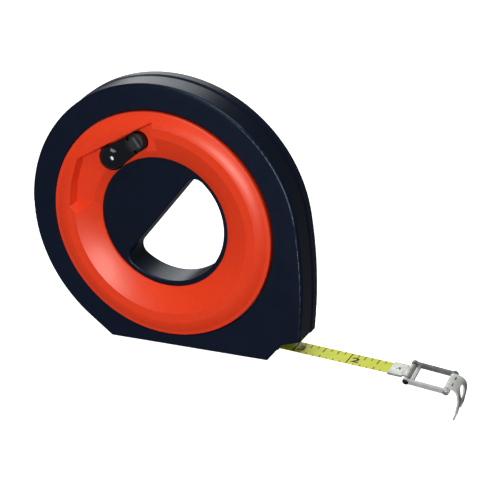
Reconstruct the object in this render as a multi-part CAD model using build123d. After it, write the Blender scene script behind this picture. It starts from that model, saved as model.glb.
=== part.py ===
from build123d import *
import math
import os

# Surveyor's closed-case steel tape reel with a winding ring, a fold-away crank and a hinged end claw.
# Millimetres. +X is the way the tape leaves, +Y is towards the back of the case, +Z is up.
# The origin is on the flat base, under the crank axis, half way through the case's thickness.

# ---- case -------------------------------------------------------------------
CASE_T = 17.5            # case thickness, front face to back face
YF, YR = -CASE_T / 2, CASE_T / 2
ZC = 59.5                # height of the crank axis above the base
CASE_R = 65.25           # round part of the outline, front shell
BAND = 0.4               # the back shell stands this much proud of the front one
BAND_L = 1.7             # length of the slope up to it
NOSE_R = 220.0           # shallow arc down the tape side
NOSE_PHI = 6.7           # where the shallow arc leaves the round part, degrees
NOSE_Z = -48.0           # lowest point of the overhanging lip, from the crank axis
BASE_X0, BASE_X1 = -30.0, 47.6
SCOOP = [(52.7, -53.3), (55.5, -50.6)]   # concave scoop under the lip
WALL = 2.2               # rim wall
FACE_T = 2.0             # front face wall
BACK_T = 1.9             # back wall
EDGE_R = 1.3             # rounding of the rim's front edge
BACK_R = 1.8             # rounding of the rim's back edge
SEAM = 1.75              # y of the joint between the two shells
WINDOW_R = 53.4          # round window in the front shell
LIP_H = 1.2              # spigot lip of the back shell

# ---- centre hub ---------------------------------------------------------------
HUB_R = 30.5
HUB_Y0, HUB_Y1 = YF + 2.9, YR - BACK_T
D_R = 28.5               # radius of the D-shaped hand opening
D_OFF = 3.7              # distance of its straight side from the crank axis
D_DIR = 50.0             # direction of its straight side from +X, degrees
D_FIL = 5.0

# ---- winding ring and drum ----------------------------------------------------
RING_RO, RING_RI = 52.9, 30.8
RING_BACK = YF + 3.0
FLANGE_R = 55.2
FLANGE_T = 0.6
DRUM_RI, DRUM_RO = 31.6, 37.6
PACK_RO = 50.15          # outside of the wound blade
TAPE_W = 9.525           # three-eighths of an inch
TAPE_T = 0.2

# ---- blade path ---------------------------------------------------------------
DROOP = 3.78             # the blade leaves the drum this much below level, degrees
BLADE_H = PACK_RO + 0.40  # distance of the blade's middle from the crank axis
LEAD_H = PACK_RO + 0.15
FERR_S0, FERR_S1 = 107.0, 113.6
PIN_S = 116.0            # hook ring's pin, along the blade from the tangent point
RING_PITCH = 6.4         # the hook ring lies this much below level, degrees
HOOK_ROLL = 15.0         # its roll about its own length, degrees
RING_L = 18.3            # from the ring's pin to the claw's pin

os.makedirs("parts", exist_ok=True)


def at_y(y):
    """Sketch plane at that y, with X across and Z up."""
    return Plane.XZ.offset(-y)


def prism(face, y0, y1):
    """A face drawn in X, Z about the crank axis, made solid from y0 to y1."""
    return extrude(at_y(y1) * face, amount=y1 - y0)


def ring(ro, ri, y0, y1):
    return prism(Circle(ro) - Circle(ri), y0, y1)


def cyl(x, z, r, y0, y1):
    return prism(Pos(x, z) * Circle(r), y0, y1)


def turned(points, fillets=()):
    """A solid turned about the crank axis from (radius, y) points; fillets are (point index, radius)."""
    face = make_face(Polyline(*points, close=True))
    for i, r in fillets:
        p = points[i]
        v = [v for v in face.vertices() if abs(v.X - p[0]) < 1e-4 and abs(v.Y - p[1]) < 1e-4]
        face = fillet(v, r)
    return revolve(face, Axis.Y)


def outline(inset=0.0):
    c2 = ((CASE_R - NOSE_R) * math.cos(math.radians(NOSE_PHI)), (CASE_R - NOSE_R) * math.sin(math.radians(NOSE_PHI)))
    d = math.hypot(BASE_X0, ZC)
    ang = math.degrees(math.atan2(-ZC, BASE_X0)) % 360
    phit = ang - math.degrees(math.acos(CASE_R / d))
    th0 = math.degrees(math.asin((NOSE_Z - c2[1]) / NOSE_R))
    nose = (c2[0] + NOSE_R * math.cos(math.radians(th0)), NOSE_Z)
    e = CenterArc((0, 0), CASE_R, NOSE_PHI, phit - NOSE_PHI)
    tp = e @ 1
    lines = e + Line(tp, (BASE_X0, -ZC)) + Line((BASE_X0, -ZC), (BASE_X1, -ZC))
    pts = [(BASE_X1, -ZC)] + SCOOP + [nose]
    for a, b in zip(pts[:-1], pts[1:]):
        lines += Line(a, b)
    lines += CenterArc(c2, NOSE_R, th0, NOSE_PHI - th0)
    face = make_face(lines)

    def near(f, p, r):
        v = sorted(f.vertices(), key=lambda v: math.hypot(v.X - p[0], v.Y - p[1]))[0]
        return fillet([v], r)
    face = near(face, (BASE_X0, -ZC), 1.2)
    face = near(face, (BASE_X1, -ZC), 0.7)
    face = near(face, nose, 0.9)
    face = near(face, SCOOP[1], 2.2)
    face = near(face, SCOOP[0], 1.6)
    if inset:
        face = offset(face, amount=-inset, kind=Kind.ARC)
    return face


OUT = outline()
INN = outline(WALL)
MID = outline(WALL / 2)
MIDC = outline(WALL / 2 - 0.06)

# D-shaped opening: the part of a circle on the lower right of a slanted straight side.
n = (-math.sin(math.radians(D_DIR)), math.cos(math.radians(D_DIR)))
u = (math.cos(math.radians(D_DIR)), math.sin(math.radians(D_DIR)))


def dface(r, off, fil):
    half = Pos(n[0] * (off - 60), n[1] * (off - 60)) * Rot(0, 0, D_DIR) * Rectangle(200, 120)
    f = Circle(r) & half
    return fillet(f.vertices(), fil) if fil else f


D_HOLE = dface(D_R, D_OFF, D_FIL)

# screw places, about the crank axis
CASE_SCREWS = [(59.4 * math.cos(math.radians(a)), 59.4 * math.sin(math.radians(a))) for a in (25, 95, 165, 221)] + [(56.6, -36.0)]
HUB_SCREWS = [(n[0] * 10.2 + u[0] * s, n[1] * 10.2 + u[1] * s) for s in (-14.5, 14.5)] + [(n[0] * 22, n[1] * 22)]

# blade frame: x along the blade away from the drum, y across it, z up; its origin is the crank axis
a = math.radians(DROOP)
TAPE = Plane(origin=(0, 0, 0), x_dir=(math.cos(a), 0, -math.sin(a)), z_dir=(math.sin(a), 0, math.cos(a))).location


def tbox(s0, s1, w, h0, h1):
    """A block in the blade frame, from s0 to s1 along it, w wide, between heights h0 and h1."""
    return TAPE * (Pos((s0 + s1) / 2, 0, (h0 + h1) / 2) * Box(s1 - s0, w, h1 - h0))


MOUTH = tbox(38, 64, 10.3, -BLADE_H - 0.75, -BLADE_H + 0.75)
PINS = [(46.9, -BLADE_H + 1.3), (46.9, -BLADE_H - 1.3)]   # guide pins, in the blade frame


def guide_pin(s, h, r, y0, y1):
    return TAPE * (Pos(s, (y0 + y1) / 2, h) * Rot(90, 0, 0) * Cylinder(r, y1 - y0))


parts = {}

# ---- front case shell -----------------------------------------------------------
body = prism(OUT, YF, SEAM)
rim = [e for e in body.edges() if abs(e.center().Y - YF) < 1e-4 and abs(e.bounding_box().size.Y) < 1e-3]
body = fillet(rim, EDGE_R)
shell = body - prism(INN, YF + FACE_T, SEAM + 1)
shell -= prism(MIDC, SEAM - LIP_H, SEAM + 1) - prism(INN, SEAM - LIP_H - 1, SEAM + 2)
win = prism(Circle(WINDOW_R), YF - 1, YF + FACE_T + 1)
shell -= win
edge = [e for e in shell.edges() if e.geom_type == GeomType.CIRCLE and abs(e.radius - WINDOW_R) < 1e-3 and abs(e.center().Y - YF) < 1e-3]
shell = chamfer(edge, 0.5)
for x, z in CASE_SCREWS:
    post = prism((Pos(x, z) * Circle(3.1)) & INN, YF + FACE_T - 0.5, SEAM - 0.02) - prism(Circle(FLANGE_R + 0.7), YF + FACE_T + 0.01, YR)
    shell += post
    shell -= cyl(x, z, 1.27, YF + FACE_T + 1.0, SEAM + 1)
shell -= MOUTH
for s, h in PINS:
    shell -= guide_pin(s, h, 0.92, YF + 1.0, YF + 5)
parts["front_case_shell"] = shell

# ---- back case shell --------------------------------------------------------------
body = prism(outline(-BAND), SEAM + 0.02, YR)
rim = [e for e in body.edges() if abs(e.center().Y - YR) < 1e-4 and abs(e.bounding_box().size.Y) < 1e-3]
body = fillet(rim, BACK_R)
body = body & (Pos(0, 0, 200 - ZC) * Box(400, 100, 400))
# slope and shadow line where the shells meet
slope = loft([at_y(SEAM + 0.02) * outline(0.12), at_y(SEAM + 0.02 + BAND_L) * outline(-BAND - 0.02)], ruled=True)
slope += prism(outline(-BAND - 0.02), SEAM + 0.02 + BAND_L, YR + 1)
body = body & slope
back = body - prism(INN, SEAM - 1, YR - BACK_T)
back += prism(MID, SEAM - LIP_H + 0.1, SEAM + 0.6) - prism(INN, SEAM - LIP_H - 1, SEAM + 1)
for x, z in CASE_SCREWS:
    post = prism((Pos(x, z) * Circle(3.1)) & INN, SEAM + 0.02, YR - BACK_T + 0.5) - prism(Circle(FLANGE_R + 0.7), SEAM, YR - BACK_T - 0.01)
    back += post
    back -= cyl(x, z, 1.4, SEAM - 2, YR + 1)
    back -= cyl(x, z, 2.7, YR - 2.3, YR + 1)
back -= prism(dface(D_R, D_OFF, D_FIL), YR - 4, YR + 1)
edge = [e for e in back.edges() if abs(e.center().Y - YR) < 1e-3 and math.hypot(e.center().X, e.center().Z) < 30 and abs(e.bounding_box().size.Y) < 1e-3]
for r in (1.0, 0.6, 0.3):
    try:
        back = fillet(edge, r)
        break
    except Exception:
        pass
for x, z in HUB_SCREWS:
    back -= cyl(x, z, 1.4, YR - 4, YR + 1)
    back -= cyl(x, z, 2.6, YR - 1.0, YR + 1)
back -= MOUTH
for s, h in PINS:
    back -= guide_pin(s, h, 0.92, YR - 5, YR - 0.9)
parts["back_case_shell"] = back

# ---- centre hub: the drum's journal, with the D-shaped opening and the web beside it ---
hub = prism(Circle(HUB_R), HUB_Y0, HUB_Y1) - prism(D_HOLE, HUB_Y0 - 1, HUB_Y1 + 1)
seg = Circle(HUB_R - 2.0) - dface(D_R + 2.0, D_OFF + 2.0, D_FIL + 1.5)
seg = sorted(seg.faces(), key=lambda f: f.area)[-1]
hollow = prism(seg, HUB_Y0 + 2.0, HUB_Y1 + 1)
for x, z in HUB_SCREWS:
    hollow -= cyl(x, z, 2.9, HUB_Y0, HUB_Y1 + 2)
hub -= hollow
for x, z in HUB_SCREWS:
    hub -= cyl(x, z, 1.27, HUB_Y0 + 2.2, HUB_Y1 + 1)
edge = [e for e in hub.edges() if abs(e.center().Y - HUB_Y0) < 1e-3 and abs(e.bounding_box().size.Y) < 1e-3 and not (e.geom_type == GeomType.CIRCLE and abs(e.radius - HUB_R) < 1e-3)]
for r in (0.7, 0.4):
    try:
        hub = fillet(edge, r)
        break
    except Exception:
        pass
parts["centre_hub"] = hub


# ---- screws: pan heads with a cross recess ---------------------------------------------
def screw(x, z, head_y, tip_y, shaft_r, head_r, head_h):
    """A screw driven from the back: its head's underside at head_y, its tip at tip_y."""
    s = cyl(x, z, shaft_r, tip_y, head_y + 0.01)
    h = cyl(x, z, head_r, head_y, head_y + head_h)
    top = [e for e in h.edges() if abs(e.center().Y - head_y - head_h) < 1e-3]
    h = fillet(top, head_h * 0.45)
    s = s + h
    tip = [e for e in s.edges() if abs(e.center().Y - tip_y) < 1e-3]
    s = chamfer(tip, shaft_r * 0.4)
    cross = prism(Pos(x, z) * (Rectangle(head_r * 1.15, head_r * 0.3) + Rectangle(head_r * 0.3, head_r * 1.15)), head_y + head_h * 0.35, head_y + head_h + 1)
    return s - cross


def group(shapes):
    return Compound(children=[Solid(s.wrapped) if not isinstance(s, Solid) and len(s.solids()) == 0 else s.solids()[0] for s in shapes])


parts["case_screws"] = group([screw(x, z, YR - 2.3, YF + FACE_T + 1.4, 1.25, 2.4, 1.5) for x, z in CASE_SCREWS])
parts["hub_screws"] = group([screw(x, z, YR - 1.0, HUB_Y0 + 3.0, 1.25, 2.35, 0.85) for x, z in HUB_SCREWS])

# ---- tape mouth guide pins ------------------------------------------------------------------
parts["mouth_guide_pins"] = group([guide_pin(s, h, 0.9, YF + 1.05, YR - 0.95) for s, h in PINS])

# ---- winding ring ---------------------------------------------------------------------------
CREST_R, SHOULDER_R, LIP_R = 42.0, 46.2, 51.2
prof = make_face(
    Polyline((RING_RI, RING_BACK), (RING_RI, YF + 2.45), (31.25, YF + 2.1))
    + ThreePointArc((31.25, YF + 2.1), (37.0, YF - 0.92), (CREST_R, YF - 2.95))
    + Line((CREST_R, YF - 2.95), (SHOULDER_R, YF - 3.1))
    + ThreePointArc((SHOULDER_R, YF - 3.1), (48.9, YF - 2.5), (LIP_R, YF - 1.5))
    + Polyline((LIP_R, YF - 1.5), (52.6, YF - 1.3), (RING_RO, YF - 1.0), (RING_RO, RING_BACK), (RING_RI, RING_BACK))
)
wring = revolve(prof, Axis.Y)
# under-side relief, left solid where the crank's pocket is
relief = turned([(43.6, RING_BACK + 1), (43.6, YF + 0.4), (50.6, YF + 0.4), (50.6, RING_BACK + 1)])
keep = prism(make_face(Polyline((0, 0), (-120, -40), (-120, 120), (25, 120), close=True)), YF - 5, YF + 6)
ribs = None
relief = relief - keep
for ang in range(-150, 75, 25):
    rb = Rot(0, 0, 0) * prism(Rot(0, 0, ang) * Pos(47, 0) * Rectangle(10, 1.2), YF - 5, YF + 6)
    relief = relief - rb
wring -= relief

# crank pocket: a wedge open on the bore side, with drafted walls, a flat floor and an end ramp
FLOOR_Y = YF + 0.35
# each wall: a point on it and its direction at the level given, the level, and how far it moves out per mm of height
WALLS = [
    ((-9.3, 44.1), (-29.1, -16.3), YF - 3.1, 0.35),      # upper
    ((-38.6, 27.6), (-4.3, -12.9), YF - 3.0, 0.45),      # left, upper part
    ((-42.9, 14.7), (-1.6, -10.8), YF - 3.0, 0.55),      # left, lower part
    ((-44.5, 3.9), (3.9, -4.2), YF - 3.0, 0.8),          # corner
    ((-34.2, 6.9), (8.4, 2.7), FLOOR_Y, 1.485),          # end ramp
    ((0.6, 40.0), (-0.8, 10.0), YF - 3.0, 0.35),         # hinge end
]


def pocket_at(y):
    lines = []
    for (px, pz), (dx, dz), y0, k in WALLS:
        L = math.hypot(dx, dz)
        dx, dz = dx / L, dz / L
        nx, nz = -dz, dx                      # inwards
        h = (y0 - y) * k
        lines.append((px - nx * h, pz - nz * h, dx, dz))
    pts = []
    for i in range(len(lines)):
        x1, z1, a1, b1 = lines[i - 1]
        x2, z2, a2, b2 = lines[i]
        t = ((x2 - x1) * b2 - (z2 - z1) * a2) / (a1 * b2 - b1 * a2)
        pts.append((x1 + a1 * t, z1 + b1 * t))
    return at_y(y) * make_face(Polyline(*pts, close=True))


cut = loft([pocket_at(YF - 6), pocket_at(FLOOR_Y)], ruled=True)
wring -= cut

# crank place: the pill lies along the pocket's upper wall
AX, AZ = -8.9, 38.4      # hinge end
BX, BZ = -21.9, 29.6     # ball end
L_AB = math.hypot(BX - AX, BZ - AZ)
CU = Vector((BX - AX) / L_AB, 0, (BZ - AZ) / L_AB)   # from the hinge end to the ball
PIN_Y = YF - 0.95        # hinge pin
KN_R = 2.15              # knuckle
CRANK = Plane(origin=(AX, PIN_Y, AZ), x_dir=(CU.X, 0, CU.Z), z_dir=(0, -1, 0)).location   # x to the ball, y across, z out of the face


def cbox(x0, x1, y0, y1, z0, z1):
    return CRANK * (Pos((x0 + x1) / 2, (y0 + y1) / 2, (z0 + z1) / 2) * Box(x1 - x0, y1 - y0, z1 - z0))


# flat seat under the crank's bracket and under the crank
seat = CRANK * extrude(Pos(0, 0, -2.95) * (Circle(4.75) + Pos(3, 0) * Rectangle(6, 9.5)), amount=12)
wring -= seat
peg = CRANK * (Pos(-2.2, 0, -3.6) * Cylinder(1.22, 1.6))
wring -= peg
pill = CRANK * extrude(Pos(0, 0, -2.35) * make_hull((Circle(4.9).edges() + (Pos(L_AB, 0) * Circle(6.5)).edges())), amount=14)
wring -= pill
# screw pilots for the drum
REEL_SCREWS = [(34.9 * math.cos(math.radians(t)), 34.9 * math.sin(math.radians(t))) for t in (-150, -85, -20, 55)]
for x, z in REEL_SCREWS:
    wring -= cyl(x, z, 0.93, RING_BACK - 2.2, RING_BACK + 1)
parts["winding_ring"] = wring

# ---- drum: front flange, core, back flange -----------------------------------------------------
f0, f1 = RING_BACK, RING_BACK + FLANGE_T
r0, r1 = YR - 3.6 - 0.0, YR - 3.0
ff = ring(FLANGE_R, DRUM_RI - 0.6, f0, f1)
rf = ring(FLANGE_R, DRUM_RI, r0, r1)
core = ring(DRUM_RO, DRUM_RI, f1, r0)
# seats for the bearing rings
core -= ring(DRUM_RI + 0.9, DRUM_RI - 1, f1 - 1, f1 + 2.5)
core -= ring(DRUM_RI + 0.9, DRUM_RI - 1, r0 - 2.5, r0 + 1)
for x, z in REEL_SCREWS:
    ff -= cyl(x, z, 1.1, f0 - 1, f1 + 1)
    core -= cyl(x, z, 1.1, f1 - 1, r0 + 1)
    rf -= cyl(x, z, 1.1, r0 - 1, r1 + 1)
# lightening windows in the flanges
for t in range(0, 360, 60):
    w = prism(Rot(0, 0, t + 30) * Pos(44.5, 0) * RectangleRounded(8, 18, 3), f0 - 1, f1 + 1)
    ff -= w
    w = prism(Rot(0, 0, t) * Pos(46.0, 0) * RectangleRounded(8, 16, 3), r0 - 1, r1 + 1)
    rf -= w
# pocket for the tape anchor
ANCH = 140.0
core -= prism(Rot(0, 0, ANCH) * Pos(DRUM_RO - 0.5, 0) * Rectangle(1.8, 7.2), f1 + 0.4, r0 - 0.4)
parts["front_drum_flange"] = ff
parts["drum_core"] = core
parts["back_drum_flange"] = rf
parts["reel_screws"] = group([screw(x, z, r1, RING_BACK - 1.9, 0.9, 1.7, 0.6) for x, z in REEL_SCREWS])
parts["front_bearing_ring"] = ring(DRUM_RI + 0.88, HUB_R + 0.05, f1 + 0.02, f1 + 2.48)
parts["back_bearing_ring"] = ring(DRUM_RI + 0.88, HUB_R + 0.05, r0 - 2.48, r0 - 0.02)
y0, y1 = -TAPE_W / 2, TAPE_W / 2
yc = (f1 + r0) / 2
anchor = prism(Rot(0, 0, ANCH) * Pos(DRUM_RO - 0.9, 0) * Rectangle(0.7, 6.8), yc - 4.0, yc + 4.0)
anchor += prism(Rot(0, 0, ANCH) * Pos(DRUM_RO - 0.45, -2.6) * Rectangle(0.6, 1.4), yc - 2.6, yc + 2.6)
parts["tape_anchor"] = anchor
parts["wound_tape"] = ring(PACK_RO, DRUM_RO + 0.03, yc - TAPE_W / 2, yc + TAPE_W / 2)
parts["drag_washer"] = ring(36.5, 31.5, r1 + 0.72, YR - BACK_T - 0.02)

# ---- crank bracket, pin and handle ---------------------------------------------------------------
# The bracket is the pill's round end: a base with two ears and a back. The crank's knuckle turns between them.
EAR_IN = 2.65
half = Circle(4.5) & (Pos(-2.2, 0) * Rectangle(9.6, 20))
br = extrude(Pos(0, 0, -2.9) * half, amount=5.1)
br = fillet([e for e in br.edges() if abs(e.center().Z - 2.2) < 1e-3 and e.geom_type == GeomType.CIRCLE], 1.5)
br -= Pos(7.7, 0, 2.6 - 2.35) * Box(20, 2 * EAR_IN, 5.2)
br = br & (Pos(-10, 0, 0) * Box(20, 20, 20) + Rot(90, 0, 0) * Cylinder(2.6, 20) + Pos(5, 0, -5 - 2.35) * Box(10, 20, 10))
br += Pos(-2.2, 0, -3.3) * Cylinder(1.2, 1.1)
br -= Rot(90, 0, 0) * Cylinder(0.82, 20)
parts["crank_bracket"] = CRANK * br
parts["crank_pin"] = CRANK * (Rot(90, 0, 0) * Cylinder(0.8, 7.4))
# handle: knuckle, flat arm, domed ball end
kn = Rot(90, 0, 0) * Cylinder(KN_R, 2 * (EAR_IN - 0.08))
neck = Pos(2.0, 0, 0) * Box(4.0, 2 * (EAR_IN - 0.08), 2 * KN_R)
arm_plan = make_hull((Pos(3.2, 0) * Circle(4.4)).edges() + (Pos(L_AB, 0) * Circle(5.6)).edges()) & (Pos(2.75 + 15, 0) * Rectangle(30, 20))
arm = extrude(Pos(0, 0, -KN_R) * arm_plan, amount=2 * KN_R)
arm = fillet([e for e in arm.edges() if abs(e.center().Z - KN_R) < 1e-3 and e.center().X > 2.9], 1.2)
ball = make_face(
    Line((0, -KN_R), (5.4, -KN_R)) + Line((5.4, -KN_R), (6.0, -1.5)) + Line((6.0, -1.5), (6.0, 0.3))
    + ThreePointArc((6.0, 0.3), (4.35, 3.15), (0, 4.35)) + Line((0, 4.35), (0, -KN_R))
)
ball = Pos(L_AB, 0, 0) * revolve(Plane.XZ * ball, Axis.Z)
handle = arm + ball + neck + kn
handle -= Rot(90, 0, 0) * Cylinder(0.85, 20)
parts["crank_handle"] = CRANK * handle

# ---- blade: the lead inside the case, and the free end ---------------------------------------------
parts["tape_lead"] = tbox(0, 44.5, TAPE_W, -LEAD_H - TAPE_T / 2, -LEAD_H + TAPE_T / 2)
BLADE_S0 = 14.0
blade = tbox(BLADE_S0, FERR_S1 - 1.2, TAPE_W, -BLADE_H - TAPE_T / 2, -BLADE_H + TAPE_T / 2)
RIV_S = 110.2
blade -= TAPE * (Pos(RIV_S, 0, -BLADE_H) * Cylinder(0.84, 4))
parts["tape_blade"] = blade

# ---- end ferrule, its rivet ----------------------------------------------------------------------
p = math.radians(RING_PITCH)
t = math.radians(HOOK_ROLL)
P1 = TAPE * Pos(PIN_S, 0, -BLADE_H)
P1 = P1.position
HOOK = Plane(origin=P1, x_dir=(math.cos(p), 0, -math.sin(p)), z_dir=(math.sin(p) * math.cos(t), -math.sin(t), math.cos(p) * math.cos(t))).location
fer = tbox(FERR_S0, FERR_S1, 10.4, -BLADE_H - 0.55, -BLADE_H + 0.55)
ends = [e for e in fer.edges()]
fer += tbox(FERR_S1 - 0.4, PIN_S - 0.6, 8.2, -BLADE_H - 0.45, -BLADE_H + 0.45)
fer += HOOK * (Rot(90, 0, 0) * Cylinder(1.35, 8.6))
fer -= tbox(FERR_S0 - 1, FERR_S1 - 1.1, TAPE_W + 0.1, -BLADE_H - TAPE_T / 2 - 0.02, -BLADE_H + TAPE_T / 2 + 0.02)
fer -= TAPE * (Pos(RIV_S, 0, -BLADE_H) * Cylinder(0.82, 4))
fer -= HOOK * (Rot(90, 0, 0) * Cylinder(0.86, 20))
parts["end_ferrule"] = fer
riv = TAPE * (Pos(RIV_S, 0, -BLADE_H) * Cylinder(0.8, 1.12))
for sgn in (1, -1):
    d = Pos(RIV_S, 0, -BLADE_H + sgn * 0.56) * (Sphere(2.2) & (Pos(0, 0, 0) * Cylinder(1.35, 10)))
    cap = Pos(RIV_S, 0, -BLADE_H + sgn * (0.56 - 1.75)) * Sphere(2.2)
    cap = cap & (Pos(RIV_S, 0, -BLADE_H + sgn * (0.56 + 2)) * Box(6, 6, 4))
    riv += TAPE * cap
parts["ferrule_rivet"] = riv

# ---- hook ring: two rails and a cross bar, on its pin ------------------------------------------------
RAIL_I, RAIL_O = 5.0, 6.4
plan = None
hr = None
for sgn in (1, -1):
    rail = HOOK * (Pos(RING_L / 2, sgn * (RAIL_I + RAIL_O) / 2, 0) * Box(RING_L, RAIL_O - RAIL_I, 2.2))
    for x in (0, RING_L):
        rail += HOOK * (Pos(x, sgn * (RAIL_I + RAIL_O) / 2, 0) * Rot(90, 0, 0) * Cylinder(1.6, RAIL_O - RAIL_I))
    hr = rail if hr is None else hr + rail
hr += HOOK * (Pos(2.45, 0, 0) * Box(1.3, 2 * RAIL_I + 0.6, 1.3))
for x in (0, RING_L):
    hr -= HOOK * (Pos(x, 0, 0) * Rot(90, 0, 0) * Cylinder(0.82, 20))
parts["hook_ring"] = hr


def pin(x, half, r, head_r, head_t):
    q = Cylinder(r, 2 * half)
    for sgn in (1, -1):
        h = Pos(0, 0, sgn * (half + head_t / 2 - 0.01)) * Cylinder(head_r, head_t)
        h = fillet([e for e in h.edges() if abs(e.center().Z - sgn * (half + head_t - 0.01)) < 1e-3], head_t * 0.5)
        q += h
    return HOOK * (Pos(x, 0, 0) * Rot(90, 0, 0) * q)


parts["ring_pin"] = pin(0, RAIL_O + 0.05, 0.8, 1.3, 0.4)
parts["claw_pin"] = pin(RING_L, RAIL_O + 0.05, 0.8, 1.3, 0.45)

# ---- claw: a knuckle, a bent plate with a tear-drop window, and two tines that lean back in ----------------
CT = 0.85
CURVE = [(0.0, 1.2), (2.0, 1.15), (4.3, -0.2), (5.35, -3.2), (5.25, -7.0), (4.5, -12.0), (3.1, -17.4)]   # middle of the plate, x and z from the claw's pin
mid = Spline(*CURVE, tangents=((1, 0), (-0.28, -0.96)))
side_a, side_b = [], []
for k in range(25):
    q = mid @ (k / 24)
    d = mid % (k / 24)
    nx, nz = d.Y, -d.X
    side_a.append((q.X + nx * CT / 2, q.Y + nz * CT / 2))
    side_b.append((q.X - nx * CT / 2, q.Y - nz * CT / 2))
strip = make_face(Spline(*side_a) + Line(side_a[-1], side_b[-1]) + Spline(*side_b[::-1]) + Line(side_b[0], side_a[0]))
strip3 = extrude(Plane.XZ * strip, amount=6, both=True)
right_side = [(4.6, 4.0), (4.6, 0.9), (5.1, -1.6), (5.25, -5.0), (5.1, -10.0), (4.75, -17.0), (4.35, -17.5), (4.0, -17.1), (2.9, -12.6), (1.5, -10.4), (0.0, -9.9)]
claw_plan = make_face(Polyline(*(right_side + [(-y, z) for y, z in right_side[:-1][::-1]]), close=True))
claw_plan = fillet([v for v in claw_plan.vertices() if -13.5 < v.Y < -9.5], 0.8)
drop = make_hull((Pos(0, -2.9) * Circle(2.75)).edges() + (Pos(0, -7.9) * Circle(0.7)).edges())
claw_plan = claw_plan - drop
claw = strip3 & extrude(Plane.YZ.offset(-3) * claw_plan, amount=12)
claw += Rot(90, 0, 0) * Cylinder(1.55, 9.2)
for sgn in (1, -1):
    claw -= Pos(1.75, sgn * 2.1, 1.2) * Box(0.8, 2.3, 3)
claw -= Rot(90, 0, 0) * Cylinder(0.86, 20)
parts["claw"] = HOOK * (Pos(RING_L, 0, 0) * claw)

UP = Pos(0, 0, ZC)
for name, shape in parts.items():
    s = UP * shape
    sol = s.solids()
    out = sol[0] if len(sol) == 1 else Compound(children=list(sol))
    out.label = name
    export_step(out, f"parts/{name}.step")

# joint axes, in millimetres in the finished frame
pa = UP * CRANK
ph = UP * HOOK
pc = UP * HOOK * Pos(RING_L, 0, 0)
print("crank_pin", tuple(pa.position), "axis", tuple((CRANK * Pos(0, 1, 0)).position - CRANK.position))
print("hook_pin", tuple(ph.position), "axis", tuple((HOOK * Pos(0, 1, 0)).position - HOOK.position))
print("claw_pin", tuple(pc.position))
print("tape direction", (math.cos(a), 0, -math.sin(a)))
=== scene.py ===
import bpy
import bmesh
import math
import numpy as np
from mathutils import Vector, Matrix


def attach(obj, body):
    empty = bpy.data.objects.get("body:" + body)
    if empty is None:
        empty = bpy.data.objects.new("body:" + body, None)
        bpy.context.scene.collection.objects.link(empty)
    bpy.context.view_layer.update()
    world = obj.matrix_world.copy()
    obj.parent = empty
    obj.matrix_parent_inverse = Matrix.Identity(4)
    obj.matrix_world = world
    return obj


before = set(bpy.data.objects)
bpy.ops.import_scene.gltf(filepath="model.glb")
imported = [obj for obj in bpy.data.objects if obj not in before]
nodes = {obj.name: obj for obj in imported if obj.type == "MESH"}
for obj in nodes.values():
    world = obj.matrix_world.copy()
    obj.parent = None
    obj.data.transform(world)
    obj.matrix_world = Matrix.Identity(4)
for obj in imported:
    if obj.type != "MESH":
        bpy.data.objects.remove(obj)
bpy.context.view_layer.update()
scene = bpy.context.scene
scene.view_settings.view_transform = "Standard"
scene.view_settings.look = "None"

MM = 0.001

# ------------------------------------------------------------------ camera
az, el, roll = map(math.radians, (25.688, 24.003, -2.916))
f, dist, ca, cb = 2043.187, 0.900, 0.038805, -0.011175
back = Vector((math.sin(az) * math.cos(el), -math.cos(az) * math.cos(el), math.sin(el)))
right = Vector((math.cos(az), math.sin(az), 0))
up = back.cross(right)
if up.z < 0:
    up = -up
R = right * math.cos(roll) + up * math.sin(roll)
U = -right * math.sin(roll) + up * math.cos(roll)
target = Vector((0, -0.00875, 0.0595))
pos = target + back * dist + R * ca + U * cb
cam = bpy.data.cameras.new("cam")
cam_ob = bpy.data.objects.new("cam", cam)
scene.collection.objects.link(cam_ob)
m = Matrix((R, U, back)).transposed().to_4x4()
m.translation = pos
cam_ob.matrix_world = m
cam.sensor_width = 36
cam.lens = f / 500 * 36
cam.clip_start = 0.01
scene.camera = cam_ob

# ------------------------------------------------------------------ blade frame
BLADE_H, DROOP = 50.55, math.radians(3.78)
ZC = 59.5
BD = Vector((math.cos(DROOP), 0, -math.sin(DROOP)))      # along the blade
BN = Vector((math.sin(DROOP), 0, math.cos(DROOP)))       # up from its face


def on_blade(s, w, h=0.0):
    """A point in metres: s along the blade from its tangent point, w across it, h above its middle, in mm."""
    p = Vector((0, 0, ZC)) + BD * s + BN * (-BLADE_H + h)
    return Vector((p.x, w, p.z)) * MM


S_INCH2 = 87.42          # where the 2 inch mark is along the blade


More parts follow.
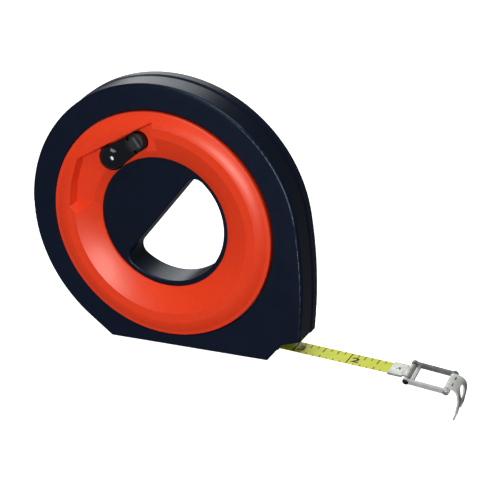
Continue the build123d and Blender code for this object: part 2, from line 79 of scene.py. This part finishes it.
# ------------------------------------------------------------------ material kit
class Mat:
    def __init__(self, name):
        self.m = bpy.data.materials.new(name)
        self.m.use_nodes = True
        self.t = self.m.node_tree
        self.b = self.t.nodes["Principled BSDF"]
        self.co = self.n("ShaderNodeTexCoord").outputs["Object"]

    def n(self, kind, **kw):
        node = self.t.nodes.new(kind)
        for k, v in kw.items():
            setattr(node, k, v)
        return node

    def l(self, a, b):
        self.t.links.new(a, b)

    def noise(self, scale, detail=3, rough=0.5, vec=None, stretch=None, distortion=0.0):
        n = self.n("ShaderNodeTexNoise")
        n.inputs["Scale"].default_value = scale
        n.inputs["Detail"].default_value = detail
        n.inputs["Roughness"].default_value = rough
        n.inputs["Distortion"].default_value = distortion
        v = vec or self.co
        if stretch:
            mp = self.n("ShaderNodeMapping")
            mp.inputs["Scale"].default_value = stretch
            self.l(v, mp.inputs["Vector"])
            v = mp.outputs["Vector"]
        self.l(v, n.inputs["Vector"])
        return n.outputs["Fac"]

    def ramp(self, fac, *stops):
        r = self.n("ShaderNodeValToRGB")
        els = r.color_ramp.elements
        while len(els) < len(stops):
            els.new(0.5)
        for e, (p, c) in zip(els, stops):
            e.position = p
            e.color = (c, c, c, 1) if isinstance(c, (int, float)) else (*c, 1)
        self.l(fac, r.inputs["Fac"])
        return r.outputs["Color"]

    def remap(self, fac, a, b, lo, hi):
        r = self.n("ShaderNodeMapRange")
        r.inputs["From Min"].default_value = a
        r.inputs["From Max"].default_value = b
        r.inputs["To Min"].default_value = lo
        r.inputs["To Max"].default_value = hi
        self.l(fac, r.inputs["Value"])
        return r.outputs["Result"]

    def mix(self, fac, a, b, blend="MIX"):
        x = self.n("ShaderNodeMix", data_type="RGBA", blend_type=blend)
        if isinstance(fac, (int, float)):
            x.inputs[0].default_value = fac
        else:
            self.l(fac, x.inputs[0])
        for sock, v in ((x.inputs[6], a), (x.inputs[7], b)):
            if isinstance(v, tuple):
                sock.default_value = (*v, 1) if len(v) == 3 else v
            else:
                self.l(v, sock)
        return x.outputs[2]

    def math(self, op, a, b=None, c=None):
        x = self.n("ShaderNodeMath", operation=op)
        for i, v in enumerate((a, b, c)):
            if v is None:
                continue
            if isinstance(v, (int, float)):
                x.inputs[i].default_value = v
            else:
                self.l(v, x.inputs[i])
        return x.outputs[0]

    def edge(self, radius, lo=0.0, hi=0.25):
        """0 on flats, 1 along sharp edges."""
        bev = self.n("ShaderNodeBevel", samples=6)
        bev.inputs["Radius"].default_value = radius
        geo = self.n("ShaderNodeNewGeometry")
        d = self.n("ShaderNodeVectorMath", operation="DOT_PRODUCT")
        self.l(bev.outputs["Normal"], d.inputs[0])
        self.l(geo.outputs["Normal"], d.inputs[1])
        return self.remap(d.outputs["Value"], 1.0 - lo, 1.0 - hi, 0.0, 1.0)

    def bump(self, *layers):
        prev = None
        for height, strength, distance in layers:
            bp = self.n("ShaderNodeBump")
            bp.inputs["Strength"].default_value = strength
            bp.inputs["Distance"].default_value = distance
            self.l(height, bp.inputs["Height"])
            if prev is not None:
                self.l(prev, bp.inputs["Normal"])
            prev = bp.outputs["Normal"]
        self.l(prev, self.b.inputs["Normal"])
        return prev

    def set(self, name, v):
        s = self.b.inputs[name]
        if isinstance(v, (int, float)):
            s.default_value = v
        elif isinstance(v, tuple):
            s.default_value = (*v, 1) if len(s.default_value) == 4 else v
        else:
            self.l(v, s)
        return self


def moulded(name, base, vary, rough, rough_vary, spec=0.5, grain=2600, grain_mm=0.006, ior=1.5, coat=0.0, wave=0.0, wear=None, sub=0.0, dust=None, tint=None, dull=None):
    """Injection-moulded plastic: flow-streaked colour, mottled gloss, fine spark-eroded grain, worn edges, a little dust."""
    k = Mat(name)
    flow = k.noise(45, 4, 0.55, distortion=0.6)
    mott = k.noise(420, 3, 0.6)
    c = k.mix(k.remap(flow, 0.3, 0.7, 0, 1), base, vary)
    c = k.mix(k.remap(mott, 0.35, 0.75, 0.0, 0.35), c, tuple(min(1, x * 1.25 + 0.0005) for x in base))
    if wear:
        e = k.edge(0.0005)
        scuff = k.math("MULTIPLY", e, k.remap(k.noise(900, 4, 0.7), 0.42, 0.62, 0.15, 1.0))
        c = k.mix(k.math("MULTIPLY", scuff, wear[1]), c, wear[0])
    if dust:
        c = k.mix(k.math("MULTIPLY", k.remap(k.noise(1500, 2, 0.5), 0.68, 0.8, 0, 1), dust[1]), c, dust[0])
    k.set("Base Color", c)
    gloss = k.remap(k.math("ADD", k.math("MULTIPLY", k.noise(90, 5, 0.6), 0.6), k.math("MULTIPLY", mott, 0.4)), 0.3, 0.7, rough - rough_vary, rough + rough_vary)
    if dull:                                     # handled less near this point: centre, radii in mm, extra roughness
        v = k.n("ShaderNodeVectorMath", operation="DISTANCE")
        k.l(k.co, v.inputs[0])
        v.inputs[1].default_value = [x * MM for x in dull[0]]
        gloss = k.math("ADD", gloss, k.remap(v.outputs["Value"], dull[1] * MM, dull[2] * MM, dull[3], 0.0))
    k.set("Roughness", gloss)
    k.set("Specular IOR Level", spec)
    if tint:
        k.set("Specular Tint", tint)
    k.set("IOR", ior)
    if coat:
        k.set("Coat Weight", coat)
        k.set("Coat Roughness", 0.06)
    if sub:
        k.set("Subsurface Weight", sub)
        k.set("Subsurface Radius", (1.0, 0.2, 0.1))
        k.set("Subsurface Scale", 0.001)
    layers = [(k.noise(grain, 2, 0.5), 1.0, grain_mm * MM)]
    if wave:
        layers.append((k.noise(120, 2, 0.5), 1.0, wave * MM))
    hair = k.noise(60, 2, 0.5, stretch=(1, 1, 40), distortion=1.5)
    layers.append((k.ramp(hair, (0.0, 0.0), (0.492, 0.0), (0.5, 1.0), (0.508, 0.0)), 0.4, 0.004 * MM))
    k.bump(*layers)
    return k


CASE = moulded("case_abs", (0.0030, 0.0055, 0.0160), (0.0040, 0.0072, 0.0195), 0.33, 0.04, spec=0.34, tint=(0.6, 0.78, 1.0), grain=2400, grain_mm=0.004, wear=((0.035, 0.045, 0.075), 0.55), dust=((0.03, 0.035, 0.05), 0.25)).m
HUB = moulded("hub_abs", (0.0030, 0.0055, 0.0150), (0.0040, 0.0068, 0.018), 0.30, 0.04, spec=0.36, tint=(0.6, 0.78, 1.0), grain=2400, grain_mm=0.004, wear=((0.04, 0.055, 0.09), 0.5)).m
RING = moulded("ring_gloss", (0.90, 0.052, 0.011), (0.86, 0.045, 0.010), 0.34, 0.03, spec=0.5, tint=(1.0, 0.82, 0.74), grain=3000, grain_mm=0.0015, wave=0.004, wear=((0.80, 0.10, 0.06), 0.35)).m
CRANK = moulded("crank_gloss", (0.0035, 0.0048, 0.0075), (0.005, 0.0065, 0.010), 0.12, 0.02, spec=0.6, grain=3000, grain_mm=0.0008, wave=0.003, dull=((-8.9, -9.7, 97.9), 3.0, 6.5, 0.42)).m
BRACKET = moulded("bracket_satin", (0.0035, 0.0048, 0.0075), (0.005, 0.0065, 0.010), 0.52, 0.04, spec=0.4, grain=2800, grain_mm=0.003, wave=0.003).m
DRUM = moulded("drum_nylon", (0.055, 0.055, 0.062), (0.07, 0.07, 0.078), 0.48, 0.05, grain=2200, grain_mm=0.008).m
ACETAL = moulded("acetal", (0.010, 0.010, 0.012), (0.016, 0.016, 0.018), 0.38, 0.05, spec=0.4, grain=2600, grain_mm=0.003).m


def felt():
    k = Mat("felt")
    a = k.noise(2600, 6, 0.75)
    b = k.noise(700, 3, 0.6)
    k.set("Base Color", k.mix(k.remap(a, 0.3, 0.7, 0, 1), (0.12, 0.12, 0.115), (0.28, 0.27, 0.25)))
    k.set("Roughness", 0.95)
    k.set("Sheen Weight", 0.6)
    k.bump((a, 1.0, 0.08 * MM), (b, 0.6, 0.12 * MM))
    return k.m


def metal(name, base, dark, rough, rough_vary, streak=(1, 1, 1), metallic=1.0, bump_mm=0.003, grime=0.5, spec=0.5, painted_far_shade=None):
    """Plated or plain metal: directional polishing marks, blotchy grime, bright worn edges, and optional painted shade
    that darkens it towards the far side.
    """
    k = Mat(name)
    lines = k.noise(900, 4, 0.6, stretch=streak)
    blot = k.noise(260, 5, 0.65, distortion=0.4)
    c = k.mix(k.remap(blot, 0.40, 0.72, 0.0, grime), base, dark)
    c = k.mix(k.math("MULTIPLY", k.edge(0.00025, 0.02, 0.3), 0.5), c, tuple(min(1, x * 1.25) for x in base))
    if painted_far_shade:                                  # painted shade: darker towards the far side, standing in for the shade on the far rail: from, to, colour
        sep = k.n("ShaderNodeSeparateXYZ")
        k.l(k.co, sep.inputs[0])
        c = k.mix(k.math("MULTIPLY", k.remap(sep.outputs["Y"], painted_far_shade[0], painted_far_shade[1], 0, 1), k.remap(blot, 0.3, 0.6, 0.7, 1.0)), c, painted_far_shade[2])
    k.set("Base Color", c)
    k.set("Metallic", metallic)
    k.set("Specular IOR Level", spec)
    k.set("Roughness", k.remap(k.math("ADD", k.math("MULTIPLY", lines, 0.5), k.math("MULTIPLY", blot, 0.5)), 0.3, 0.7, rough - rough_vary, rough + rough_vary))
    k.bump((lines, 1.0, bump_mm * MM), (k.noise(1400, 2, 0.5), 0.5, 0.002 * MM))
    return k.m


NICKEL = metal("hook_nickel", (0.70, 0.71, 0.66), (0.34, 0.35, 0.32), 0.36, 0.07, streak=(1, 14, 1), metallic=0.75, grime=0.75)
# painted shade: the rails are painted darker towards the far side
RAILS = metal("ring_nickel", (0.92, 0.93, 0.90), (0.50, 0.51, 0.48), 0.38, 0.07, streak=(1, 14, 1), metallic=0.45, grime=0.7, painted_far_shade=(0.0010, 0.0045, (0.20, 0.205, 0.20)))
CLAWS = metal("claw_nickel", (0.93, 0.95, 0.90), (0.45, 0.47, 0.43), 0.36, 0.07, streak=(1, 1, 14), metallic=0.35, grime=0.7)
BLACKPIN = metal("pin_black", (0.012, 0.012, 0.013), (0.03, 0.026, 0.022), 0.24, 0.05, metallic=0.4, grime=0.4)
ZINC = metal("screw_zinc", (0.56, 0.57, 0.58), (0.32, 0.31, 0.28), 0.30, 0.08, streak=(1, 1, 1), bump_mm=0.002)


def blade_coat():
    """Yellow-green coated spring steel: even paint with a faint rolled grain, rubbed thin along its two edges."""
    k = Mat("blade_coat")
    sep = k.n("ShaderNodeSeparateXYZ")
    k.l(k.co, sep.inputs[0])
    streak = k.noise(700, 4, 0.6, stretch=(0.06, 1, 1))
    mott = k.noise(300, 4, 0.6)
    c = k.mix(k.remap(streak, 0.3, 0.7, 0, 1), (0.84, 0.90, 0.045), (0.88, 0.93, 0.060))
    c = k.mix(k.remap(mott, 0.45, 0.8, 0.0, 0.35), c, (0.66, 0.72, 0.06))
    w = k.math("ABSOLUTE", sep.outputs["Y"])
    rub = k.math("MULTIPLY", k.remap(w, 0.00445, 0.00474, 0, 1), k.remap(k.noise(1100, 3, 0.6), 0.45, 0.6, 0.1, 1))
    c = k.mix(k.math("MULTIPLY", rub, 0.55), c, (0.42, 0.45, 0.14))
    k.set("Base Color", c)
    k.set("Roughness", k.remap(mott, 0.3, 0.7, 0.30, 0.42))
    k.set("Specular IOR Level", 0.22)
    k.set("Specular Tint", (1.0, 1.0, 0.6))
    k.bump((streak, 1.0, 0.004 * MM), (k.noise(1800, 2, 0.5), 0.6, 0.002 * MM))
    return k.m


def wound():
    """The pack of wound blade: a fine line for every turn."""
    k = Mat("wound_turns")
    sep = k.n("ShaderNodeSeparateXYZ")
    k.l(k.co, sep.inputs[0])
    dz = k.math("SUBTRACT", sep.outputs["Z"], ZC * MM)
    r = k.math("SQRT", k.math("ADD", k.math("MULTIPLY", sep.outputs["X"], sep.outputs["X"]), k.math("MULTIPLY", dz, dz)))
    turn = k.math("PINGPONG", r, 0.0002)
    t = k.remap(turn, 0.0, 0.0002, 0, 1)
    c = k.mix(t, (0.22, 0.23, 0.06), (0.70, 0.76, 0.08))
    c = k.mix(k.remap(k.noise(200, 4, 0.6), 0.4, 0.7, 0, 0.4), c, (0.35, 0.36, 0.22))
    k.set("Base Color", c)
    k.set("Roughness", 0.45)
    k.bump((t, 1.0, 0.05 * MM))
    return k.m


FELT, BLADE, WOUND = felt(), blade_coat(), wound()


def ink():
    k = Mat("scale_ink")
    n1 = k.noise(1800, 4, 0.6)
    k.set("Base Color", k.mix(k.remap(n1, 0.35, 0.75, 0, 1), (0.004, 0.005, 0.004), (0.016, 0.017, 0.010)))
    k.set("Roughness", k.remap(n1, 0.3, 0.7, 0.35, 0.5))
    k.set("Specular IOR Level", 0.2)
    k.bump((n1, 0.6, 0.003 * MM))
    return k.m


INK = ink()

FINISH = {
    "front_case_shell": CASE, "back_case_shell": CASE, "centre_hub": HUB,
    "winding_ring": RING, "crank_handle": CRANK, "crank_bracket": BRACKET,
    "front_drum_flange": DRUM, "drum_core": DRUM, "back_drum_flange": DRUM,
    "front_bearing_ring": ACETAL, "back_bearing_ring": ACETAL, "drag_washer": FELT,
    "case_screws": ZINC, "hub_screws": ZINC, "reel_screws": ZINC, "mouth_guide_pins": ZINC, "tape_anchor": ZINC, "crank_pin": BLACKPIN,
    "tape_blade": BLADE, "tape_lead": BLADE, "wound_tape": WOUND,
    "end_ferrule": NICKEL, "ferrule_rivet": NICKEL, "hook_ring": RAILS, "claw_pin": NICKEL, "claw": CLAWS, "ring_pin": BLACKPIN,
}
for name, ob in nodes.items():
    ob.data.materials.clear()
    ob.data.materials.append(FINISH[name])


# ------------------------------------------------------------------ printed scale
def new_object(name, verts, faces, mat):
    me = bpy.data.meshes.new(name)
    me.from_pydata([tuple(v) for v in verts], [], faces)
    me.update()
    me.materials.append(mat)
    ob = bpy.data.objects.new(name, me)
    scene.collection.objects.link(ob)
    return ob


def printed_scale():
    """Inch scale: eighth-inch marks from both edges, as a thin layer of ink on the blade's face."""
    verts, faces = [], []
    H0, H1 = 0.1 - 0.004, 0.1 + 0.012
    W = 9.525 / 2

    def bar(s0, s1, w0, w1):
        b = len(verts)
        for h in (H0, H1):
            for s, w in ((s0, w0), (s1, w0), (s1, w1), (s0, w1)):
                verts.append(on_blade(s, w, h))
        faces.extend([(b, b + 3, b + 2, b + 1), (b + 4, b + 5, b + 6, b + 7), (b, b + 1, b + 5, b + 4), (b + 1, b + 2, b + 6, b + 5), (b + 2, b + 3, b + 7, b + 6), (b + 3, b, b + 4, b + 7)])

    for i in range(11, 39):
        s = S_INCH2 - (i / 8 - 2) * 25.4
        if not 15.0 < s < 106.6:
            continue
        if i % 8 == 0:
            far, near, t = 9.3, 0, 0.55
        elif i % 4 == 0:
            far, near, t = 4.6, 1.9, 0.50
        elif i % 2 == 0:
            far, near, t = 3.5, 1.3, 0.45
        else:
            far, near, t = 2.5, 0.9, 0.42
        bar(s - t / 2, s + t / 2, W - 0.12 - far, W - 0.12)
        if near:
            bar(s - t / 2, s + t / 2, -W + 0.12, -W + 0.12 + near)
    ob = new_object("scale_marks", verts, faces, INK)
    return ob


def numeral(n):
    cu = bpy.data.curves.new(f"num{n}", "FONT")
    cu.body = str(n)
    cu.size = 1.0
    cu.align_x = "CENTER"
    cu.resolution_u = 6
    cu.extrude = 0.006
    cu.offset = 0.035
    tmp = bpy.data.objects.new(f"num{n}_c", cu)
    scene.collection.objects.link(tmp)
    bpy.context.view_layer.update()
    me = bpy.data.meshes.new_from_object(tmp)
    bpy.data.objects.remove(tmp)
    co = np.array([v.co for v in me.vertices])
    lo, hi = co.min(0), co.max(0)
    high = 4.4                                   # height of the numeral across the blade
    k = high / (hi[1] - lo[1])
    s0 = S_INCH2 - (n - 2) * 25.4
    cx = (lo[0] + hi[0]) / 2
    for v, c in zip(me.vertices, co):
        along = (c[0] - cx) * k * 1.25 + 3.0      # read from the near side, just past its mark
        across = (c[1] - lo[1]) * k - 2.6
        v.co = on_blade(s0 + along, across, 0.1 + 0.004 + (0.008 if c[2] > 0 else -0.006))
    me.materials.clear()
    me.materials.append(INK)
    ob = bpy.data.objects.new(f"numeral_{n}", me)
    scene.collection.objects.link(ob)
    return ob


marks = printed_scale()
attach(marks, "blade")
for n in (2, 3, 4):
    o = numeral(n)
    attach(o, "blade")

# ------------------------------------------------------------------ light, floor
w = bpy.data.worlds.new("studio")
scene.world = w
w.use_nodes = True
wt = w.node_tree
bg = wt.nodes["Background"]
bg2 = wt.nodes.new("ShaderNodeBackground")
lp = wt.nodes.new("ShaderNodeLightPath")
mx = wt.nodes.new("ShaderNodeMixShader")
out = wt.nodes["World Output"]
bg.inputs[0].default_value = (0.92, 0.96, 1.0, 1)
bg.inputs[1].default_value = 0.10
bg2.inputs[0].default_value = (1, 1, 1, 1)
bg2.inputs[1].default_value = 1.0
wt.links.new(lp.outputs["Is Camera Ray"], mx.inputs[0])
wt.links.new(bg.outputs[0], mx.inputs[1])
wt.links.new(bg2.outputs[0], mx.inputs[2])
wt.links.new(mx.outputs[0], out.inputs[0])


def lamp(name, direction, distance, size, radiance, size_y=None, colour=(1, 1, 1)):
    """A softbox facing the object, given the brightness of its face."""
    d = bpy.data.lights.new(name, "AREA")
    d.shape = "ELLIPSE" if size_y else "DISK"
    d.size = size
    if size_y:
        d.size_y = size_y
    area = math.pi / 4 * size * (size_y or size)
    d.energy = radiance * math.pi * area
    d.color = colour
    o = bpy.data.objects.new(name, d)
    scene.collection.objects.link(o)
    v = Vector(direction).normalized()
    o.location = Vector((0.01, 0, 0.06)) + v * distance
    o.rotation_mode = "QUATERNION"
    o.rotation_quaternion = v.to_track_quat("Z", "Y")
    o.visible_camera = False
    return o


lamp("key", (0.08, -1, 0.0), 1.0, 0.42, 18)
lamp("top", (0.15, -0.3, 1.0), 1.0, 0.8, 3.6)
lamp("rear", (-0.5, 1.0, 0.5), 1.0, 0.7, 2.0)


def floor():
    k = Mat("pale_floor")
    k.b.inputs["Base Color"].default_value = (0.9, 0.9, 0.9, 1)
    k.set("Roughness", k.remap(k.noise(30, 2), 0.3, 0.7, 0.85, 0.95))
    k.set("Emission Color", (1, 1, 1))
    k.set("Emission Strength", 0.95)
    S = 3.0
    ob = new_object("floor", [(-S, -S, -0.0205), (S, -S, -0.0205), (S, S, -0.0205), (-S, S, -0.0205)], [(0, 1, 2, 3)], k.m)
    ob.visible_diffuse = False
    ob.visible_glossy = False


floor()
